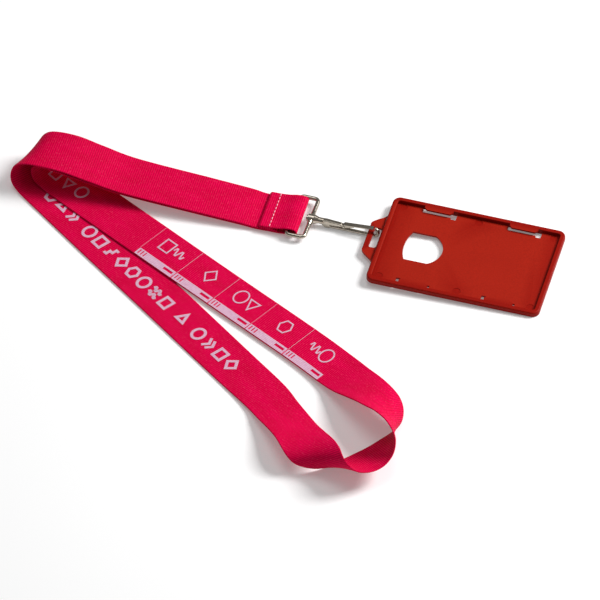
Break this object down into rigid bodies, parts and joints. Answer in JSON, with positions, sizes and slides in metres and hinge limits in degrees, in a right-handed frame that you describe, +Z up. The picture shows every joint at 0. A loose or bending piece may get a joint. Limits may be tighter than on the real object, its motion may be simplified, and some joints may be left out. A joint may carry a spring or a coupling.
{
  "type": "lanyard badge holder",
  "caption": "Neck lanyard of wide ribbed ribbon with a swivelling snap hook that carries an open-faced rigid card holder.",
  "frame": {"origin": "on the table, under the middle of the whole footprint, with the object lying as if just put down", "axes": "+X to the right along the longest extent, +Y away from the viewer towards the ring end of the strap, +Z up from the table"},
  "size_m": [0.2843, 0.2375, 0.0214],
  "materials": {
    "ribbon": "hot pink ribbed polyester ribbon with white printed marks",
    "thread": "light pink sewing thread",
    "nickel_plate": "nickel plate, satin with light wear",
    "spring_steel": "drawn spring wire, bright",
    "moulded_plastic": "orange-red moulded polypropylene, satin, slightly scuffed"
  },
  "bodies": {
    "strap": {"neck_strap": "ribbon", "end_stitching": "thread"},
    "ring": {"swivel_ring": "nickel_plate"},
    "hook": {"hook_body": "nickel_plate", "gate_rivet": "nickel_plate"},
    "gate": {"gate_leaf": "nickel_plate", "gate_spring": "spring_steel"},
    "holder": {"card_holder": "moulded_plastic"}
  },
  "joints": [
    {"name": "ring_swing", "type": "hinge", "parent": "strap", "child": "ring", "pos_m": [0.00319, 0.06973, 0.0034], "axis": [-0.284, -0.9588, 0], "range_deg": [-95, 95]},
    {"name": "hook_swivel", "type": "hinge", "parent": "ring", "child": "hook", "pos_m": [0.0124, 0.067, 0.0034], "axis": [0.9588, -0.284, 0], "continuous": true},
    {"name": "gate_pivot", "type": "hinge", "parent": "hook", "child": "gate", "pos_m": [0.02927, 0.062, 0.0035], "axis": [0.284, 0.9588, 0], "range_deg": [0, 5], "stiffness_Nm_per_rad": 0.01, "springref_deg": -45.84},
    {"name": "holder_swing", "type": "hinge", "parent": "hook", "child": "holder", "pos_m": [0.04204, 0.05828, 0.00298], "axis": [-0.2588, -0.9659, 0], "range_deg": [-8, 25]}
  ]
}
